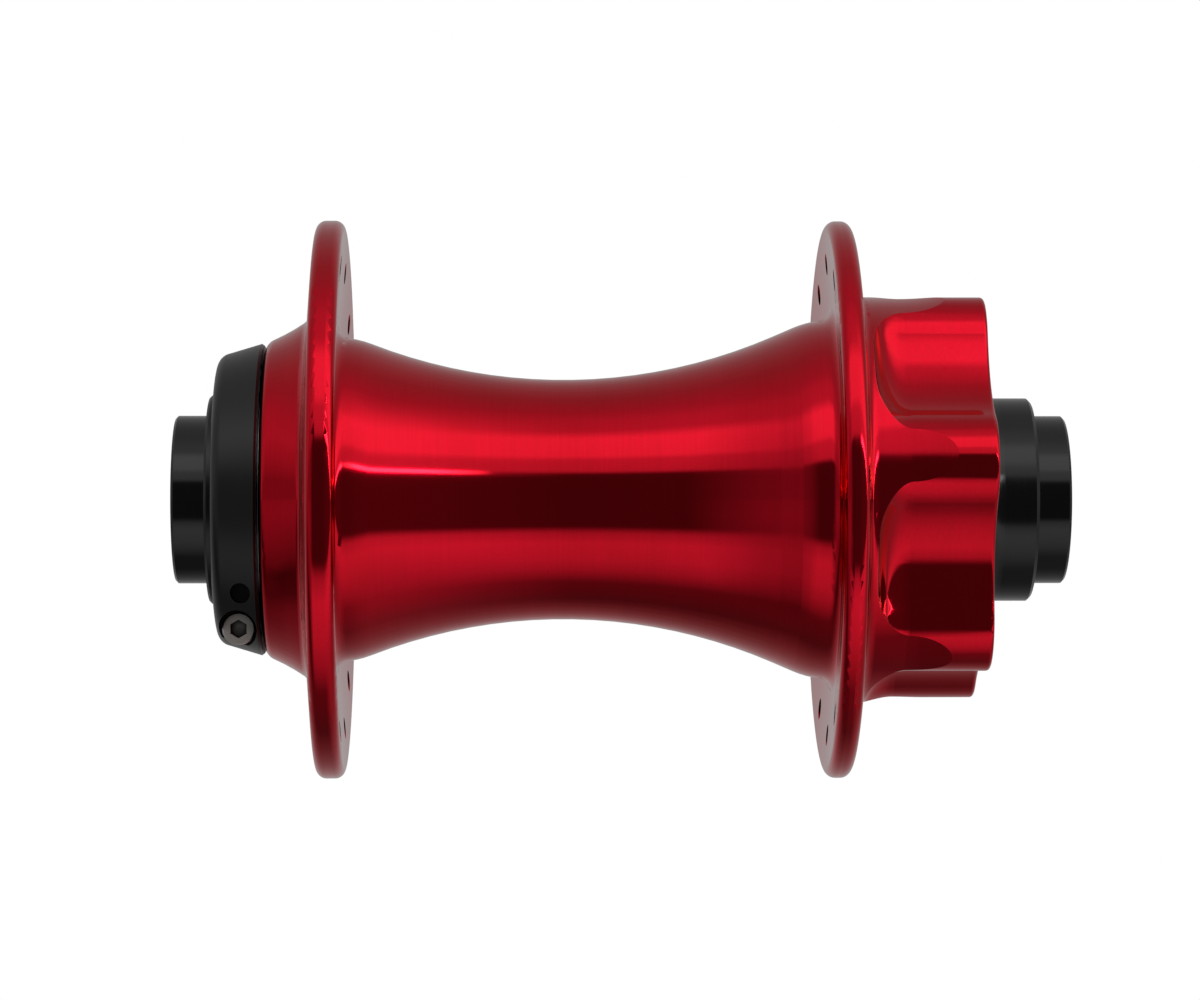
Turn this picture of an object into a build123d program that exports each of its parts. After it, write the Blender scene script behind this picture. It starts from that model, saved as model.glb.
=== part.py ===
from build123d import *
from math import asin, cos, degrees, radians, sin, sqrt, tan
import os

# A bicycle front hub for a disc brake and a 15 x 110 mm thru-axle, in millimetres.
# Origin: the hub's centre, on the axle's axis. +Y runs along the axle to the disc side, +Z is up
# and +X is forwards. Profiles are drawn with their first coordinate as the radius, then turned
# about the Y axis.

os.makedirs("parts", exist_ok=True)

# ---------------------------------------------------------------- driving dimensions

# Axle ends: the hub seats in fork dropouts 110 mm apart, on spigots that fit their 21 mm recesses.
end_y = 55.0
thru_bore_r = 7.55
spigot_r = 10.4
spigot_length = 4.2
edge_chamfer = 0.3
bore_chamfer = 0.4

# Bearings: 22 mm bore, 34 mm outside, 8 mm wide, one each side at the same distance from centre.
seat_r = 11.0
pocket_r = 17.0
bearing_y = 38.5
bearing_half = 4.0
ball_r = 1.7
ball_groove_r = 1.8
ball_pitch_r = 14.0
ball_count = 17
inner_land_r = 12.6
outer_land_r = 15.4
race_fit = 0.02
seal_gap = 0.1
pocket_floor_y = bearing_y - bearing_half
bearing_face_y = bearing_y + bearing_half

# Distances along a bearing, from its middle, positive towards the hub's end.
cage_closed_edge = 2.3
cage_open_edge = -1.1
cage_inner_r = 13.4
cage_outer_r = 14.6
cage_pocket_r = 1.8
outer_seal_edges = (2.72, 3.28)
inner_seal_edges = (-3.6, -3.0)
snap_ring_edges = (3.32, 3.78)
seat_play = 0.02
seal_seat_r = 15.95
snap_groove_r = 16.4
snap_ring_inner_r = 15.3
snap_ring_gap = 3.0
race_chamfer = 0.3

# Hub shell, barrel: one waisted arc between two convex shoulders.
shell_left_y = -43.85
waist_y = -7.1
waist_r = 14.87
waist_arc_r = 65.5
shoulder_arc_r = 12.0
left_shoulder_y = -30.8
right_arc_end_y = 18.9
right_shoulder_y = 21.4
shell_bore_r = 12.8
relief_r = 15.0
relief_y = 31.5
relief_taper = 2.2

# Hub shell, flanges: each leans towards the hub's middle at its rim, which is round-cornered.
flange_r = 34.55
flange_root_r = 20.0
flange_lean = 5.0
rim_corner = 1.2
left_flange_y = -35.7
left_flange_thick = 3.45
right_flange_y = 26.75
right_flange_thick = 3.0
flange_fillet = 1.6
shoulder_overrun = 6.0
mount_root_y = 27.8
spokes_per_flange = 14
spoke_circle_r = 29.25
spoke_hole_r = 1.3
spoke_sink_r = 1.9
right_spoke_angle = 91.2
left_spoke_angle = right_spoke_angle + 180 / spokes_per_flange

# Hub shell, neck on the clamp side.
neck_end_r = 19.4
neck_flange_r = 22.7
neck_flange_y = -38.0
neck_arc_r = 24.6
neck_corner = 1.6

# Hub shell, disc mount: six lobes on the 44 mm rotor bolt circle.
rotor_face_y = 44.5
mount_r = 25.15
mount_straight_y = 34.0
mount_flare_r = 24.0
mount_fillet = 1.2
lobe_count = 6
lobe_first_angle = 12.2
bolt_circle_r = 22.0
lobe_centre_r = 19.3
lobe_tip_r = 6.5
valley_centre_r = 36.1
scallop_floor_y = 30.1
scallop_floor_fillet = 4.2
scallop_clear_r = 40.0
lobe_edge_fillet = 0.5
rotor_hole_r = 2.1
rotor_hole_depth = 11.0
rotor_hole_chamfer = 0.35
countersink_angle = 90.0

# How far a cutting shape runs past the surface it leaves.
past = 1.0

# Adjuster clamp: a split collar threaded on the axle, tapering out towards the shell.
clamp_left_y = -49.75
clamp_right_y = -44.1
clamp_left_r = 17.7
clamp_right_r = 19.4
clamp_corner = 1.7
clamp_boss_r = 12.95
clamp_bore_r = 10.98
clamp_recess_r = 13.4
clamp_recess_y = -46.4
clamp_slit = 1.0
tool_hole_r = 1.25
tool_hole_y = -46.2
tool_hole_z = -11.3
tool_hole_floor_x = 11.0

# Clamp bolt: it crosses the split along X, below the axle.
bolt_y = -46.82
bolt_z = -15.8
bolt_r = 1.25
bolt_head_r = 2.0
bolt_seat_x = 6.0
bolt_head_height = 2.2
bolt_tip_x = -7.5
bolt_socket_flats = 2.0
bolt_socket_depth = 1.3
bolt_counterbore_r = 2.4
bolt_tapped_r = 1.28
bolt_clearance_r = 1.4

# Thread on the axle for the clamp, drawn as closed rings of 1 mm pitch.
thread_pitch = 1.0
thread_crest_r = 10.92
thread_root_r = 10.42
thread_start_y = -50.95
thread_rings = 4
thread_root_end = 0.1
thread_crest_start = 0.45
thread_crest_end = 0.65

# Preload cone between the clamp and the clamp-side bearing.
cone_bore_r = 11.06
cone_nose_r = 12.3
cone_disc_r = 16.6
cone_disc_y = -44.0
cone_nose_y = -43.0
cone_hub_r = 13.2
cone_groove_r = 12.2
cone_groove_y = -45.2
cone_groove_half = 0.6
o_ring_squash = 0.02

# Axle between and outside the bearings.
seat_start_y = -46.3
seat_inner_y = 33.5
axle_waist_r = 9.6
axle_groove_r = 10.25
axle_groove_half = 0.6
shield_r = 16.5
shield_face_y = 44.0
flare_r = 2.6
shoulder_r = 12.6
shoulder_corner = 0.4


def axis_plane(y):
    """The plane across the axle at y, with local x along +X, local y along +Z and its normal along -Y."""
    return Plane.XZ.offset(-y)


def save(piece, name):
    """Names a finished piece and writes it as its own STEP file."""
    piece.part.label = name
    export_step(piece.part, f"parts/{name}.step")


def barrel_radius(y):
    """The barrel's outer radius on its waisted arc."""
    return waist_r + waist_arc_r - sqrt(waist_arc_r**2 - (y - waist_y) ** 2)


def barrel_angle(y):
    """How far the barrel's arc has turned away from the axle's direction at y, in degrees."""
    return degrees(asin(abs(y - waist_y) / waist_arc_r))


def circle_point(radius, angle):
    """A point at a radius and an angle in degrees."""
    return (radius * cos(radians(angle)), radius * sin(radians(angle)))


# ---------------------------------------------------------------- hub shell

def lobe_profile():
    """The disc mount's outline: six tip arcs, each tangent to the valley arcs beside it."""
    step = 360 / lobe_count
    with BuildSketch() as profile:
        with BuildLine():
            for i in range(lobe_count):
                angle = lobe_first_angle + i * step
                tip_centre = Vector(*circle_point(lobe_centre_r, angle))
                before = Vector(*circle_point(valley_centre_r, angle - step / 2))
                after = Vector(*circle_point(valley_centre_r, angle + step / 2))
                next_centre = Vector(*circle_point(lobe_centre_r, angle + step))
                valley_arc_r = (after - tip_centre).length - lobe_tip_r
                joint_before = tip_centre + (before - tip_centre).normalized() * lobe_tip_r
                joint_after = tip_centre + (after - tip_centre).normalized() * lobe_tip_r
                joint_next = next_centre + (after - next_centre).normalized() * lobe_tip_r
                tip = circle_point(lobe_centre_r + lobe_tip_r, angle)
                valley = circle_point(valley_centre_r - valley_arc_r, angle + step / 2)
                ThreePointArc(joint_before, tip, joint_after)
                ThreePointArc(joint_after, valley, joint_next)
        make_face()
    return profile


def make_scallop_cutter():
    """Everything outside the lobes, from the scallops' floor to past the rotor face."""
    profile = lobe_profile()
    with BuildPart() as cutter:
        with BuildSketch(axis_plane(scallop_floor_y)):
            Circle(scallop_clear_r)
            add(profile.sketch, mode=Mode.SUBTRACT)
        extrude(amount=-(rotor_face_y + past - scallop_floor_y))
        floor_face = cutter.faces().sort_by(Axis.Y)[0]
        fillet(floor_face.inner_wires()[0].edges(), scallop_floor_fillet)
    return cutter


def flange_middle_y(rim_y, lean, radius):
    """The middle of a leaning flange at a radius."""
    return rim_y - (flange_r - radius) * tan(radians(lean))


def flange_blade(rim_y, thick, lean):
    """One flange's section, from inside the barrel to its rim, before its corners are rounded."""
    root_y = flange_middle_y(rim_y, lean, flange_root_r)
    half = thick / cos(radians(lean)) / 2
    Polygon(
        (flange_root_r, root_y - half),
        (flange_r, rim_y - half),
        (flange_r, rim_y + half),
        (flange_root_r, root_y + half),
        align=None,
    )


def shell_section():
    """The shell's half section, without its holes and scallops."""
    left_angle = barrel_angle(left_shoulder_y)
    right_angle = barrel_angle(right_arc_end_y)
    left_start = (barrel_radius(left_shoulder_y), left_shoulder_y)
    right_end = (barrel_radius(right_arc_end_y), right_arc_end_y)
    rise = tan(radians(right_angle)) * (right_shoulder_y - right_arc_end_y)
    right_start = (right_end[0] + rise, right_shoulder_y)
    mount_angle = degrees(asin((rotor_face_y - mount_straight_y) / mount_flare_r))
    with BuildSketch() as section:
        with BuildLine():
            neck = RadiusArc((neck_end_r, shell_left_y), (neck_flange_r, neck_flange_y), neck_arc_r)
            left_shoulder = JernArc(
                left_start,
                (sin(radians(left_angle)), -cos(radians(left_angle))),
                shoulder_arc_r,
                -(left_angle + shoulder_overrun),
            )
            Line(neck @ 1, left_shoulder @ 1)
            ThreePointArc(left_start, (waist_r, waist_y), right_end)
            Line(right_end, right_start)
            right_shoulder = JernArc(
                right_start,
                (sin(radians(right_angle)), cos(radians(right_angle))),
                shoulder_arc_r,
                right_angle + shoulder_overrun,
            )
            Polyline(right_shoulder @ 1, (mount_r, mount_root_y), (mount_r, mount_straight_y))
            mount_flare = JernArc((mount_r, mount_straight_y), (0, 1), mount_flare_r, -mount_angle)
            Polyline(
                mount_flare @ 1,
                (pocket_r, rotor_face_y),
                (pocket_r, pocket_floor_y),
                (relief_r, pocket_floor_y),
                (relief_r, relief_y),
                (shell_bore_r, relief_y - relief_taper),
                (shell_bore_r, -relief_y + relief_taper),
                (relief_r, -relief_y),
                (relief_r, -pocket_floor_y),
                (pocket_r, -pocket_floor_y),
                (pocket_r, shell_left_y),
                neck @ 0,
            )
        make_face()
        fillet(section.vertices().sort_by_distance(neck @ 0)[0], neck_corner)
        flange_blade(left_flange_y, left_flange_thick, flange_lean)
        flange_blade(right_flange_y, right_flange_thick, -flange_lean)
        corners = [
            (neck_flange_r, neck_flange_y, flange_fillet),
            ((left_shoulder @ 1).X, (left_shoulder @ 1).Y, flange_fillet),
            ((right_shoulder @ 1).X, (right_shoulder @ 1).Y, flange_fillet),
            (mount_r, mount_root_y + right_flange_thick / 2, mount_fillet),
            (flange_r, left_flange_y - left_flange_thick / 2, rim_corner),
            (flange_r, left_flange_y + left_flange_thick / 2, rim_corner),
            (flange_r, right_flange_y - right_flange_thick / 2, rim_corner),
            (flange_r, right_flange_y + right_flange_thick / 2, rim_corner),
        ]
        for corner_r, corner_y, fillet_r in corners:
            fillet(section.vertices().sort_by_distance((corner_r, corner_y))[0], fillet_r)
    return section


def spoke_holes(rim_y, thick, lean, first_angle):
    """One flange's ring of spoke holes, countersunk on both faces."""
    middle_y = flange_middle_y(rim_y, lean, spoke_circle_r)
    half = thick / cos(radians(lean)) / 2
    sink = spoke_sink_r - spoke_hole_r
    for i in range(spokes_per_flange):
        angle = first_angle + i * 360 / spokes_per_flange
        x, z = circle_point(spoke_circle_r, angle)
        with Locations(axis_plane(middle_y)):
            with Locations((x, z)):
                Cylinder(spoke_hole_r, 2 * (half + past), mode=Mode.SUBTRACT)
        for side in (-1, 1):
            with Locations(Plane((x, middle_y + side * half, z), z_dir=(0, side, 0))):
                Cone(spoke_hole_r, spoke_sink_r + past, sink + past, mode=Mode.SUBTRACT,
                     align=(Align.CENTER, Align.CENTER, Align.MIN))


def make_hub_shell():
    """The one-piece shell: barrel, two flanges, bearing pockets and the six-lobe disc mount."""
    section = shell_section()
    cutter = make_scallop_cutter()
    with BuildPart() as shell:
        add(section.sketch)
        revolve(axis=Axis.Y)
        add(cutter.part, mode=Mode.SUBTRACT)
        rotor_face = shell.faces().sort_by(Axis.Y)[-1]
        fillet(rotor_face.outer_wire().edges(), lobe_edge_fillet)
        with Locations(Plane((0, rotor_face_y, 0), x_dir=(1, 0, 0), z_dir=(0, 1, 0))):
            with PolarLocations(bolt_circle_r, lobe_count, start_angle=-lobe_first_angle):
                CounterSinkHole(rotor_hole_r, rotor_hole_r + rotor_hole_chamfer, rotor_hole_depth,
                                countersink_angle)
        spoke_holes(left_flange_y, left_flange_thick, flange_lean, left_spoke_angle)
        spoke_holes(right_flange_y, right_flange_thick, -flange_lean, right_spoke_angle)
    return shell


# ---------------------------------------------------------------- axle

def make_axle():
    """The hollow axle, with the clamp's thread at one end and a shouldered shield at the other."""
    waist_ramp = seat_r - axle_waist_r
    left_spigot = [
        (spigot_r - edge_chamfer, -end_y),
        (spigot_r, -end_y + edge_chamfer),
        (spigot_r, thread_start_y),
    ]
    thread = []
    for i in range(thread_rings):
        ring_y = thread_start_y + i * thread_pitch
        thread.append((thread_root_r, ring_y + thread_pitch * thread_root_end))
        thread.append((thread_crest_r, ring_y + thread_pitch * thread_crest_start))
        thread.append((thread_crest_r, ring_y + thread_pitch * thread_crest_end))
    thread.append((thread_root_r, seat_start_y))
    middle = [
        (seat_r, seat_start_y),
        (seat_r, -seat_inner_y),
        (axle_waist_r, -seat_inner_y + waist_ramp),
        (axle_waist_r, seat_inner_y - waist_ramp),
        (seat_r, seat_inner_y),
        (seat_r, bearing_face_y),
        (cone_nose_r, bearing_face_y),
        (cone_nose_r, -cone_nose_y),
        (shield_r, -cone_nose_y),
        (shield_r, shield_face_y),
        (shoulder_r + flare_r, shield_face_y),
    ]
    shoulder_y = end_y - spigot_length
    outer_end = [
        (shoulder_r, shoulder_y - shoulder_corner),
        (shoulder_r - shoulder_corner, shoulder_y),
        (spigot_r, shoulder_y),
        (spigot_r, end_y - edge_chamfer),
        (spigot_r - edge_chamfer, end_y),
        (thru_bore_r + bore_chamfer, end_y),
        (thru_bore_r, end_y - bore_chamfer),
        (thru_bore_r, -end_y + bore_chamfer),
        (thru_bore_r + bore_chamfer, -end_y),
        (spigot_r - edge_chamfer, -end_y),
    ]
    with BuildPart() as axle:
        with BuildSketch():
            with BuildLine():
                Polyline(*left_spigot, *thread, *middle)
                flare = JernArc((shoulder_r + flare_r, shield_face_y), (-1, 0), flare_r, -90)
                Polyline(flare @ 1, *outer_end)
            make_face()
            for side in (-1, 1):
                with Locations((axle_groove_r, side * bearing_y)):
                    Rectangle(2 * (seat_r - axle_groove_r), 2 * axle_groove_half,
                              align=(Align.MIN, Align.CENTER), mode=Mode.SUBTRACT)
        revolve(axis=Axis.Y)
    return axle


def make_o_ring(inner_r, outer_r, y, half):
    """A squashed O-ring that fills its groove between two radii."""
    with BuildPart() as ring:
        with BuildSketch():
            with Locations(((inner_r + outer_r) / 2, y)):
                Ellipse((outer_r - inner_r) / 2, half)
        revolve(axis=Axis.Y)
    return ring


# ---------------------------------------------------------------- preload parts

def make_preload_cone():
    """The ring that the clamp pushes against the clamp-side bearing's inner race."""
    outline = [
        (cone_bore_r, clamp_recess_y),
        (cone_hub_r, clamp_recess_y),
        (cone_hub_r, cone_disc_y),
        (cone_disc_r, cone_disc_y),
        (cone_disc_r, cone_nose_y),
        (cone_nose_r, cone_nose_y),
        (cone_nose_r, -bearing_face_y),
        (cone_bore_r, -bearing_face_y),
    ]
    with BuildPart() as cone:
        with BuildSketch():
            with BuildLine():
                Polyline(*outline, close=True)
            make_face()
            with Locations((cone_groove_r, cone_groove_y)):
                Rectangle(2 * (cone_groove_r - cone_bore_r), 2 * cone_groove_half,
                          align=(Align.MAX, Align.CENTER), mode=Mode.SUBTRACT)
        revolve(axis=Axis.Y)
    return cone


def make_adjuster_clamp():
    """The split collar, with its pinch bolt's holes and the hole for a turning pin."""
    boss_end_y = -end_y + spigot_length
    through = 2 * clamp_right_r
    outline = [
        (clamp_bore_r, boss_end_y),
        (clamp_boss_r, boss_end_y),
        (clamp_boss_r, clamp_left_y),
        (clamp_left_r, clamp_left_y),
        (clamp_right_r, clamp_right_y),
        (clamp_recess_r, clamp_right_y),
        (clamp_recess_r, clamp_recess_y),
        (clamp_bore_r, clamp_recess_y),
    ]
    with BuildPart() as clamp:
        with BuildSketch() as section:
            with BuildLine():
                Polyline(*outline, close=True)
            make_face()
            corner = section.vertices().sort_by_distance((clamp_left_r, clamp_left_y))[0]
            fillet(corner, clamp_corner)
            rims = [(clamp_boss_r, boss_end_y), (clamp_right_r, clamp_right_y)]
            chamfer([section.vertices().sort_by_distance(rim)[0] for rim in rims], edge_chamfer)
        revolve(axis=Axis.Y)
        Box(clamp_slit, 2 * end_y, through, align=(Align.CENTER, Align.MAX, Align.MAX),
            mode=Mode.SUBTRACT)
        with Locations(Plane((0, bolt_y, bolt_z), z_dir=(1, 0, 0))):
            Cylinder(bolt_clearance_r, through, mode=Mode.SUBTRACT,
                     align=(Align.CENTER, Align.CENTER, Align.MIN))
        with Locations(Plane((0, bolt_y, bolt_z), z_dir=(-1, 0, 0))):
            Cylinder(bolt_tapped_r, through, mode=Mode.SUBTRACT,
                     align=(Align.CENTER, Align.CENTER, Align.MIN))
        with Locations(Plane((bolt_seat_x, bolt_y, bolt_z), z_dir=(1, 0, 0))):
            Cylinder(bolt_counterbore_r, through, mode=Mode.SUBTRACT,
                     align=(Align.CENTER, Align.CENTER, Align.MIN))
        with Locations(Plane((tool_hole_floor_x, tool_hole_y, tool_hole_z), z_dir=(1, 0, 0))):
            Cylinder(tool_hole_r, through, mode=Mode.SUBTRACT,
                     align=(Align.CENTER, Align.CENTER, Align.MIN))
    return clamp


def make_clamp_bolt():
    """The pinch bolt: a small cap head with a hexagon socket, facing forwards."""
    seat = Plane((bolt_seat_x, bolt_y, bolt_z), z_dir=(1, 0, 0))
    with BuildPart() as bolt:
        with BuildSketch(seat):
            Circle(bolt_r)
        extrude(amount=bolt_tip_x - bolt_seat_x)
        chamfer(bolt.edges().sort_by(Axis.X)[0], edge_chamfer)
        with BuildSketch(seat):
            Circle(bolt_head_r)
        extrude(amount=bolt_head_height)
        chamfer(bolt.edges().sort_by(Axis.X)[-1], edge_chamfer / 2)
        with BuildSketch(seat.offset(bolt_head_height)):
            RegularPolygon(bolt_socket_flats / 2, 6, major_radius=False)
        extrude(amount=-bolt_socket_depth, mode=Mode.SUBTRACT)
    return bolt


# ---------------------------------------------------------------- bearings

def ring_section(inner_r, outer_r, middle_y, side, edges, mode=Mode.ADD):
    """A rectangle in a bearing's section, between two radii and two distances from its middle."""
    low, high = edges
    with Locations(((inner_r + outer_r) / 2, middle_y + side * (low + high) / 2)):
        Rectangle(outer_r - inner_r, high - low, mode=mode)


def widened(edges):
    """The seat for a ring with these edges, with a little play each side."""
    return (edges[0] - seat_play, edges[1] + seat_play)


def ball_places(middle_y):
    """A plane at each ball's centre, with its normal away from the axle."""
    planes = []
    for i in range(ball_count):
        x, z = circle_point(ball_pitch_r, i * 360 / ball_count)
        planes.append(Plane((x, middle_y, z), x_dir=(0, 1, 0), z_dir=(x, 0, z)))
    return Locations(*planes)


def make_bearing(prefix, side):
    """One sealed bearing as seven pieces, on the clamp side (side -1) or the disc side (side 1)."""
    middle_y = side * bearing_y
    full = (-bearing_half, bearing_half)

    with BuildPart() as outer_race:
        with BuildSketch() as section:
            ring_section(outer_land_r, pocket_r, middle_y, side, full)
            chamfer(section.vertices().group_by(Axis.X)[-1], race_chamfer)
            with Locations((ball_pitch_r, middle_y)):
                Circle(ball_groove_r, mode=Mode.SUBTRACT)
            seal_seat = (outer_seal_edges[0] - seat_play, bearing_half)
            ring_section(outer_land_r, seal_seat_r, middle_y, side, seal_seat, Mode.SUBTRACT)
            ring_section(outer_land_r, snap_groove_r, middle_y, side, widened(snap_ring_edges),
                         Mode.SUBTRACT)
            ring_section(outer_land_r, seal_seat_r, middle_y, side, widened(inner_seal_edges),
                         Mode.SUBTRACT)
        revolve(axis=Axis.Y)
    save(outer_race, prefix + "_outer_race")

    with BuildPart() as inner_race:
        with BuildSketch() as section:
            ring_section(seat_r + race_fit, inner_land_r, middle_y, side, full)
            chamfer(section.vertices().group_by(Axis.X)[0], race_chamfer)
            with Locations((ball_pitch_r, middle_y)):
                Circle(ball_groove_r, mode=Mode.SUBTRACT)
        revolve(axis=Axis.Y)
    save(inner_race, prefix + "_inner_race")

    with BuildPart() as balls:
        with ball_places(middle_y):
            Sphere(ball_r)
    save(balls, prefix + "_balls")

    with BuildPart() as cage:
        with BuildSketch():
            ring_section(cage_inner_r, cage_outer_r, middle_y, side, (cage_open_edge, cage_closed_edge))
        revolve(axis=Axis.Y)
        with ball_places(middle_y):
            Cylinder(cage_pocket_r, 2 * (cage_outer_r - cage_inner_r), mode=Mode.SUBTRACT)
    save(cage, prefix + "_cage")

    for name, edges in (("_outer_seal", outer_seal_edges), ("_inner_seal", inner_seal_edges)):
        with BuildPart() as seal:
            with BuildSketch():
                ring_section(inner_land_r + seal_gap, seal_seat_r - seat_play, middle_y, side, edges)
            revolve(axis=Axis.Y)
        save(seal, prefix + name)

    with BuildPart() as snap_ring:
        with BuildSketch():
            ring_section(snap_ring_inner_r, snap_groove_r - seat_play, middle_y, side, snap_ring_edges)
        revolve(axis=Axis.Y)
        with Locations((0, middle_y, 0)):
            Box(snap_ring_gap, 4 * bearing_half, 2 * pocket_r, mode=Mode.SUBTRACT,
                align=(Align.CENTER, Align.CENTER, Align.MIN))
    save(snap_ring, prefix + "_snap_ring")


# ---------------------------------------------------------------- build everything

save(make_hub_shell(), "hub_shell")
save(make_axle(), "axle")
save(make_adjuster_clamp(), "adjuster_clamp")
save(make_clamp_bolt(), "clamp_bolt")
save(make_preload_cone(), "preload_cone")
cone_o_ring = make_o_ring(seat_r + o_ring_squash, cone_groove_r - o_ring_squash, cone_groove_y,
                          cone_groove_half - o_ring_squash)
save(cone_o_ring, "cone_o_ring")
for prefix, side in (("clamp_side", -1), ("disc_side", 1)):
    axle_o_ring = make_o_ring(axle_groove_r + o_ring_squash, seat_r, side * bearing_y,
                              axle_groove_half - o_ring_squash)
    save(axle_o_ring, prefix + "_axle_o_ring")
    make_bearing(prefix + "_bearing", side)
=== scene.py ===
from math import cos, radians, sin

import bpy
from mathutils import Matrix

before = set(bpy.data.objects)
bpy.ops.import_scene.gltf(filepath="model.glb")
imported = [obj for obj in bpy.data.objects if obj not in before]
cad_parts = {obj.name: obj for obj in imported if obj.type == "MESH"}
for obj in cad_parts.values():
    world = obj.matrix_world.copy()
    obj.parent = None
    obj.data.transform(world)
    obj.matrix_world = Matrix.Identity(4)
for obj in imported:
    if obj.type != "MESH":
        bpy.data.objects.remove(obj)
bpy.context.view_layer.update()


# ---------------------------------------------------------------- shader nodes

MIX_FIRST, MIX_SECOND, MIX_RESULT = 6, 7, 2  # the colour sockets of a Mix node


def put(tree, kind, **settings):
    """Adds a node and sets its properties."""
    node = tree.nodes.new(kind)
    for key, value in settings.items():
        setattr(node, key, value)
    return node


def wire(tree, value, socket):
    """Sets a socket to a number or colour, or links another node's output to it."""
    if isinstance(value, bpy.types.NodeSocket):
        tree.links.new(value, socket)
    else:
        socket.default_value = value


def maths(tree, operation, *values):
    """The result of a Math node on numbers or sockets."""
    node = put(tree, "ShaderNodeMath", operation=operation)
    for value, socket in zip(values, node.inputs):
        wire(tree, value, socket)
    return node.outputs[0]


def noise(tree, vector, scale, detail):
    """Soft noise around 0.5, with about scale spots to the metre."""
    node = put(tree, "ShaderNodeTexNoise")
    wire(tree, vector, node.inputs["Vector"])
    wire(tree, scale, node.inputs["Scale"])
    wire(tree, detail, node.inputs["Detail"])
    return node.outputs["Fac"]


def remap(tree, value, low, high, to_low, to_high):
    """Stretches low..high to to_low..to_high, and holds the ends."""
    node = put(tree, "ShaderNodeMapRange")
    for socket, setting in zip(node.inputs, (value, low, high, to_low, to_high)):
        wire(tree, setting, socket)
    return node.outputs[0]


def fade(tree, value, start, full):
    """0 where the value is at start or before it, 1 where it is at full or past it."""
    return remap(tree, value, start, full, 0.0, 1.0)


def blend_colour(tree, factor, first, second):
    """The first colour at factor 0, the second at 1."""
    node = put(tree, "ShaderNodeMix", data_type="RGBA")
    wire(tree, factor, node.inputs["Factor"])
    wire(tree, first, node.inputs[MIX_FIRST])
    wire(tree, second, node.inputs[MIX_SECOND])
    return node.outputs[MIX_RESULT]


# ---------------------------------------------------------------- surface detail, painted shade and painted highlight

MICRON = 1e-6

LINE_DETAIL = 3.0
GRAIN_DETAIL = 4.0
CLOUD_DETAIL = 3.0
LINE_DRIFT = 0.0004  # metres through the noise for each radian round the axis, so lines vary a little

# A surface's tone mixes its clouds and its turning lines. One pair of tones marks the ends of its
# colour, and one pair the ends of its roughness.
CLOUD_SHARE = 0.65
LINE_SHARE = 0.35
COLOUR_TONES = (0.38, 0.62)
ROUGH_TONES = (0.35, 0.65)

# An edge shows where the normal, rounded over a small radius, turns away from the face. The turns
# are cosines, where wear begins and where it is full. The grain breaks the wear up. On the bolt's
# head the lighter edge is also a painted highlight.
EDGE_RADIUS = 0.00025
EDGE_SAMPLES = 6
EDGE_TURNS = (0.96, 0.8)
WEAR_GRAIN = (0.35, 0.65)
LEAST_WEAR = 0.2
WORN_ROUGHNESS = 0.15

# Painted shade: a recess is darkened where little of the open can be seen from it.
PAINTED_SHADE_COLOUR = (0.02, 0.018, 0.016)
PAINTED_SHADE_OPENNESS = (0.35, 0.85)
PAINTED_SHADE_SAMPLES = 8


def turned_place(tree, place):
    """The distance from the hub's axis, and a place in noise that makes lines round that axis."""
    split = put(tree, "ShaderNodeSeparateXYZ")
    wire(tree, place, split.inputs[0])
    x, y, z = split.outputs
    radius = maths(tree, "SQRT", maths(tree, "ADD", maths(tree, "POWER", x, 2.0),
                                       maths(tree, "POWER", z, 2.0)))
    turned = put(tree, "ShaderNodeCombineXYZ")
    wire(tree, radius, turned.inputs[0])
    wire(tree, y, turned.inputs[1])
    wire(tree, maths(tree, "MULTIPLY", maths(tree, "ARCTAN2", z, x), LINE_DRIFT), turned.inputs[2])
    return radius, turned.outputs[0]


def edge_mask(tree):
    """1 on sharp edges, 0 on open faces."""
    bevel = put(tree, "ShaderNodeBevel", samples=EDGE_SAMPLES)
    wire(tree, EDGE_RADIUS, bevel.inputs["Radius"])
    geometry = put(tree, "ShaderNodeNewGeometry")
    dot = put(tree, "ShaderNodeVectorMath", operation="DOT_PRODUCT")
    wire(tree, bevel.outputs["Normal"], dot.inputs[0])
    wire(tree, geometry.outputs["Normal"], dot.inputs[1])
    return fade(tree, dot.outputs["Value"], *EDGE_TURNS)


def openness(tree, reach):
    """0 in a deep recess, 1 on an open face, from what stands within reach."""
    shelter = put(tree, "ShaderNodeAmbientOcclusion", samples=PAINTED_SHADE_SAMPLES)
    wire(tree, reach, shelter.inputs["Distance"])
    return fade(tree, shelter.outputs["AO"], *PAINTED_SHADE_OPENNESS)


def bump(tree, line, line_microns, fine, grain_microns):
    """The normal of a surface whose turning lines and grain have these heights."""
    height = maths(tree, "ADD", maths(tree, "MULTIPLY", line, line_microns * MICRON),
                   maths(tree, "MULTIPLY", fine, grain_microns * MICRON))
    node = put(tree, "ShaderNodeBump")
    wire(tree, 1.0, node.inputs["Distance"])
    wire(tree, 1.0, node.inputs["Strength"])
    wire(tree, height, node.inputs["Height"])
    return node.outputs["Normal"]


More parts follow.
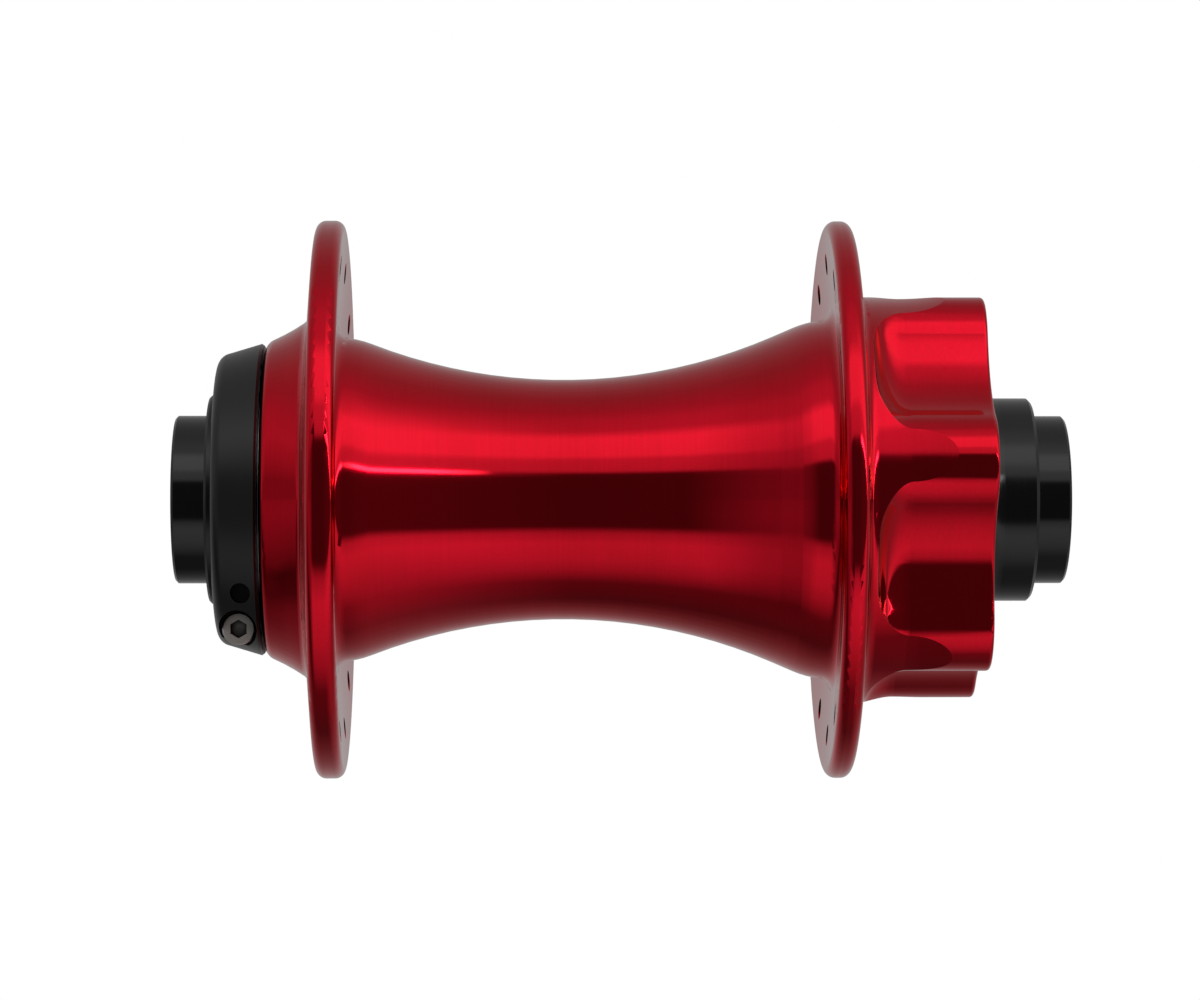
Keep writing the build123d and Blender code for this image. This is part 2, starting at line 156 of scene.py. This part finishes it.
def finish(name, nodes, colour, deep, rough, metallic, edge=None, edge_amount=0.3,
           lines=4000.0, line_microns=0.0, grain=6000.0, grain_microns=0.0, patches=70.0,
           rough_by_radius=None, coat=None, recess=None):
    """Gives CAD nodes a metal, plastic or rubber surface.

    colour and deep are the ends of its cloudy colour, rough holds the ends of its roughness, and
    edge is the colour of its edges where they wear, which on the bolt's head is also a painted
    highlight. lines, grain and patches are how many turning lines, grains and clouds there are to
    the metre. rough_by_radius is two distances from the axis, and the roughness added from one to
    the other. coat is a clear coat's weight and roughness, and recess is how far off, in metres, a
    wall still casts painted shade on the surface.
    """
    material = bpy.data.materials.new(name)
    material.use_nodes = True
    tree = material.node_tree
    tree.nodes.clear()
    output = put(tree, "ShaderNodeOutputMaterial")
    shader = put(tree, "ShaderNodeBsdfPrincipled")
    wire(tree, shader.outputs["BSDF"], output.inputs["Surface"])

    place = put(tree, "ShaderNodeTexCoord").outputs["Object"]
    radius, turned = turned_place(tree, place)
    line = noise(tree, turned, lines, LINE_DETAIL)
    fine = noise(tree, place, grain, GRAIN_DETAIL)
    cloud = noise(tree, place, patches, CLOUD_DETAIL)

    tone = maths(tree, "ADD", maths(tree, "MULTIPLY", cloud, CLOUD_SHARE),
                 maths(tree, "MULTIPLY", line, LINE_SHARE))
    base = blend_colour(tree, fade(tree, tone, *COLOUR_TONES), (*colour, 1), (*deep, 1))
    gloss = remap(tree, tone, *ROUGH_TONES, *rough)
    if rough_by_radius:
        inner, outer, more = rough_by_radius
        gloss = maths(tree, "ADD", gloss, remap(tree, radius, inner, outer, 0.0, more))
    # Edges lighten for wear, and on the bolt's head this also paints a highlight ring.
    if edge:
        wear_and_sheen = maths(tree, "MULTIPLY", edge_mask(tree), remap(tree, fine, *WEAR_GRAIN, LEAST_WEAR, 1.0))
        wear_and_sheen = maths(tree, "MULTIPLY", wear_and_sheen, edge_amount)
        base = blend_colour(tree, wear_and_sheen, base, (*edge, 1))
        gloss = maths(tree, "ADD", gloss, maths(tree, "MULTIPLY", wear_and_sheen, WORN_ROUGHNESS))
    # Painted shade: recesses darken towards a near-black colour, found by ambient occlusion.
    if recess:
        base = blend_colour(tree, openness(tree, recess), (*PAINTED_SHADE_COLOUR, 1), base)

    wire(tree, base, shader.inputs["Base Color"])
    wire(tree, gloss, shader.inputs["Roughness"])
    wire(tree, metallic, shader.inputs["Metallic"])
    wire(tree, bump(tree, line, line_microns, fine, grain_microns), shader.inputs["Normal"])
    if coat:
        coat_weight, coat_roughness = coat
        wire(tree, coat_weight, shader.inputs["Coat Weight"])
        wire(tree, coat_roughness, shader.inputs["Coat Roughness"])
    for node in nodes:
        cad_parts[node].material_slots[0].material = material


# ---------------------------------------------------------------- materials

SIDES = ("clamp_side", "disc_side")


def both(*pieces):
    """The names of bearing pieces on both sides."""
    return [f"{side}_bearing_{piece}" for side in SIDES for piece in pieces]


finish("red_anodised", ["hub_shell"],
       colour=(0.72, 0.0, 0.017), deep=(0.64, 0.0, 0.012), rough=(0.065, 0.10), metallic=1.0,
       edge=(0.95, 0.42, 0.40), edge_amount=0.25, coat=(0.2, 0.03),
       lines=3500.0, line_microns=0.15, grain=9000.0, grain_microns=0.05)
# The spigots are glossier than the shoulder and the shield, which stand further out.
finish("black_anodised", ["axle"],
       colour=(0.0013, 0.0011, 0.0012), deep=(0.003, 0.0025, 0.0026), rough=(0.09, 0.15),
       metallic=0.0, edge=(0.05, 0.05, 0.052), edge_amount=0.5,
       rough_by_radius=(0.0112, 0.0126, 0.05),
       lines=5000.0, line_microns=0.5, grain=9000.0, grain_microns=0.3)
finish("black_blasted", ["adjuster_clamp"],
       colour=(0.0018, 0.0016, 0.0016), deep=(0.0036, 0.0033, 0.0034), rough=(0.27, 0.34),
       metallic=0.0, edge=(0.06, 0.06, 0.062), edge_amount=0.5,
       lines=3000.0, line_microns=0.4, grain=7000.0, grain_microns=1.2)
# Painted shade darkens the inside of the socket in the bolt's head.
# The bolt head's lighter edge is partly wear and partly a painted highlight ring.
finish("stainless", ["clamp_bolt"],
       colour=(0.80, 0.77, 0.73), deep=(0.66, 0.63, 0.59), rough=(0.5, 0.65), metallic=1.0,
       edge=(0.95, 0.93, 0.90), edge_amount=0.8, recess=0.0014,
       lines=9000.0, line_microns=1.0, grain=12000.0, grain_microns=1.0, patches=400.0)
finish("bare_aluminium", ["preload_cone"],
       colour=(0.78, 0.79, 0.80), deep=(0.66, 0.67, 0.69), rough=(0.22, 0.34), metallic=1.0,
       edge=(0.92, 0.92, 0.93), edge_amount=0.6,
       lines=6000.0, line_microns=1.5, grain=9000.0, grain_microns=0.3)
finish("bearing_steel", both("outer_race", "inner_race"),
       colour=(0.62, 0.62, 0.64), deep=(0.52, 0.52, 0.54), rough=(0.16, 0.26), metallic=1.0,
       edge=(0.82, 0.82, 0.83), edge_amount=0.6,
       lines=8000.0, line_microns=0.6, grain=9000.0, grain_microns=0.2)
finish("polished_steel", both("balls"),
       colour=(0.78, 0.78, 0.79), deep=(0.70, 0.70, 0.72), rough=(0.04, 0.09), metallic=1.0,
       lines=2500.0, line_microns=0.05, grain=9000.0, grain_microns=0.05, patches=300.0)
finish("spring_steel", both("snap_ring"),
       colour=(0.13, 0.13, 0.15), deep=(0.07, 0.065, 0.075), rough=(0.26, 0.40), metallic=1.0,
       edge=(0.45, 0.45, 0.46), edge_amount=0.7,
       grain=5000.0, grain_microns=2.0, patches=300.0)
finish("cage_plastic", both("cage"),
       colour=(0.80, 0.74, 0.60), deep=(0.72, 0.66, 0.52), rough=(0.38, 0.50), metallic=0.0,
       edge=(0.88, 0.84, 0.74), edge_amount=0.5,
       grain=5000.0, grain_microns=4.0, patches=200.0)
finish("seal_rubber", both("outer_seal", "inner_seal"),
       colour=(0.012, 0.012, 0.013), deep=(0.022, 0.021, 0.021), rough=(0.42, 0.58), metallic=0.0,
       edge=(0.04, 0.04, 0.04), edge_amount=0.5,
       lines=2500.0, line_microns=4.0, grain=6000.0, grain_microns=4.0)
finish("nitrile", ["cone_o_ring"] + [f"{side}_axle_o_ring" for side in SIDES],
       colour=(0.010, 0.010, 0.010), deep=(0.018, 0.017, 0.016), rough=(0.30, 0.44), metallic=0.0,
       edge=(0.03, 0.03, 0.03), edge_amount=0.4,
       grain=8000.0, grain_microns=3.0)

# ---------------------------------------------------------------- studio light

WHOLE_TURN = radians(360)
RAMP_FRONT = 0.5  # a ramp goes once round the hub's axis, from the back to the back
STUDIO_STRENGTH = 1.39
STRIP_ANGLE = radians(25)
STRIP_EDGE = radians(2.2)
STRIP_CORE = radians(1.0)
STRIP_LEVEL = 6.0

# How far a direction leans along the hub's axis, from -1 to 1, where one wall fades into another.
DISC_END_FADE = (0.0, 0.55)
CLAMP_END_FADE = (-0.4, -0.75)
STRIP_END_FADE = (0.25, 0.45)

world = bpy.data.worlds.new("studio")
bpy.context.scene.world = world
world.use_nodes = True
sky = world.node_tree
sky.nodes.clear()

direction = put(sky, "ShaderNodeTexCoord").outputs["Generated"]
parts = put(sky, "ShaderNodeSeparateXYZ")
wire(sky, direction, parts.inputs[0])
along_x, along_y, along_z = parts.outputs
height_angle = maths(sky, "ARCTAN2", along_z, along_x)
turn = maths(sky, "ADD", maths(sky, "DIVIDE", height_angle, WHOLE_TURN), RAMP_FRONT)


def panels(stops):
    """Light levels round the hub's axis: pairs of an angle above the front, in degrees, and a level."""
    ramp = put(sky, "ShaderNodeValToRGB")
    elements = ramp.color_ramp.elements
    elements.remove(elements[-1])
    for i, (angle, level) in enumerate(stops):
        position = radians(angle) / WHOLE_TURN + RAMP_FRONT
        element = elements[0] if i == 0 else elements.new(position)
        element.position = position
        element.color = (level, level, level, 1)
    wire(sky, turn, ramp.inputs[0])
    return ramp.outputs[0]


# The soft boxes stand above and below the camera, with a dark gap between them, and reach
# further round on the disc side. Beyond the clamp side's end there is only a dim wall.
middle = panels([(-180, 0.28), (-164, 0.28), (-140, 0.17), (-110, 0.06), (-85, 0.09), (-70, 0.30),
                 (-58, 0.42), (-42, 0.48), (-32, 0.34), (-26, 0.05), (24, 0.05), (27, 0.46),
                 (38, 0.52), (42, 0.80), (60, 0.84), (68, 0.45), (80, 0.40), (90, 0.30),
                 (110, 0.23), (140, 0.22), (164, 0.26), (180, 0.28)])
disc_end = panels([(-180, 0.28), (-164, 0.28), (-140, 0.21), (-110, 0.20), (-85, 0.28), (-70, 0.36),
                   (-58, 0.45), (-42, 0.57), (-32, 0.47), (-26, 0.07), (21, 0.07), (23, 0.30),
                   (27, 0.55), (36, 0.62), (42, 0.93), (60, 0.95), (68, 0.80), (80, 0.48),
                   (90, 0.33), (110, 0.26), (140, 0.26), (164, 0.26), (180, 0.28)])
clamp_end = panels([(-180, 0.28), (-150, 0.24), (-105, 0.12), (-90, 0.05), (-72, 0.04), (-60, 0.11),
                    (-48, 0.15), (-30, 0.19), (-12, 0.22), (6, 0.18), (20, 0.18), (32, 0.25),
                    (44, 0.30), (60, 0.36), (75, 0.33), (100, 0.26), (180, 0.28)])
levels = blend_colour(sky, fade(sky, along_y, *DISC_END_FADE), middle, disc_end)
levels = blend_colour(sky, fade(sky, along_y, *CLAMP_END_FADE), levels, clamp_end)

# A thin bright strip tops the dark gap on the disc side.
from_strip = maths(sky, "ABSOLUTE", maths(sky, "SUBTRACT", height_angle, STRIP_ANGLE))
strip = maths(sky, "MULTIPLY", fade(sky, from_strip, STRIP_EDGE, STRIP_CORE),
              fade(sky, along_y, *STRIP_END_FADE))
levels = blend_colour(sky, strip, levels, (STRIP_LEVEL, STRIP_LEVEL, STRIP_LEVEL, 1))

# The camera sees a white backdrop instead of the walls that light the hub.
studio = put(sky, "ShaderNodeBackground")
wire(sky, levels, studio.inputs["Color"])
wire(sky, STUDIO_STRENGTH, studio.inputs["Strength"])
backdrop = put(sky, "ShaderNodeBackground")
wire(sky, (1, 1, 1, 1), backdrop.inputs["Color"])
wire(sky, 1.0, backdrop.inputs["Strength"])
seen = put(sky, "ShaderNodeLightPath")
choose = put(sky, "ShaderNodeMixShader")
sky_output = put(sky, "ShaderNodeOutputWorld")
wire(sky, seen.outputs["Is Camera Ray"], choose.inputs[0])
wire(sky, studio.outputs[0], choose.inputs[1])
wire(sky, backdrop.outputs[0], choose.inputs[2])
wire(sky, choose.outputs[0], sky_output.inputs["Surface"])

# ---------------------------------------------------------------- floor

FLOOR_Z = -0.125
FLOOR_FRONT = 0.9
FLOOR_BACK = -0.42
FLOOR_HALF_WIDTH = 0.9

# The hub neither reflects the floor nor takes light from it: the studio's walls do both.
floor_mesh = bpy.data.meshes.new("floor")
floor_mesh.from_pydata(
    [(FLOOR_BACK, -FLOOR_HALF_WIDTH, FLOOR_Z), (FLOOR_FRONT, -FLOOR_HALF_WIDTH, FLOOR_Z),
     (FLOOR_FRONT, FLOOR_HALF_WIDTH, FLOOR_Z), (FLOOR_BACK, FLOOR_HALF_WIDTH, FLOOR_Z)],
    [], [(0, 1, 2, 3)])
floor = bpy.data.objects.new("floor", floor_mesh)
bpy.context.scene.collection.objects.link(floor)
floor.visible_glossy = False
floor.visible_diffuse = False
paper = bpy.data.materials.new("paper_white")
paper.use_nodes = True
paper_shader = paper.node_tree.nodes["Principled BSDF"]
paper_shader.inputs["Base Color"].default_value = (0.85, 0.85, 0.85, 1)
paper_shader.inputs["Roughness"].default_value = 0.9
paper_shader.inputs["Specular IOR Level"].default_value = 0.1
paper_shader.inputs["Emission Color"].default_value = (1, 1, 1, 1)
paper_shader.inputs["Emission Strength"].default_value = 0.5
floor_mesh.materials.append(paper)

# ---------------------------------------------------------------- camera

CAMERA_DISTANCE = 0.522
CAMERA_TURN = radians(1.1)
CAMERA_Z = -0.00005
LOOK_AT_Y = -0.0025

# The camera stands in front of the hub, a little to the clamp's side.
camera_data = bpy.data.cameras.new("camera")
camera_data.sensor_width = 36
camera_data.lens = 126
camera_data.clip_start = 0.01
camera = bpy.data.objects.new("camera", camera_data)
bpy.context.scene.collection.objects.link(camera)
camera.location = (CAMERA_DISTANCE * cos(CAMERA_TURN),
                   LOOK_AT_Y - CAMERA_DISTANCE * sin(CAMERA_TURN), CAMERA_Z)
camera.rotation_euler = (radians(90), 0, radians(90) - CAMERA_TURN)
bpy.context.scene.camera = camera
bpy.context.scene.view_settings.view_transform = "Standard"
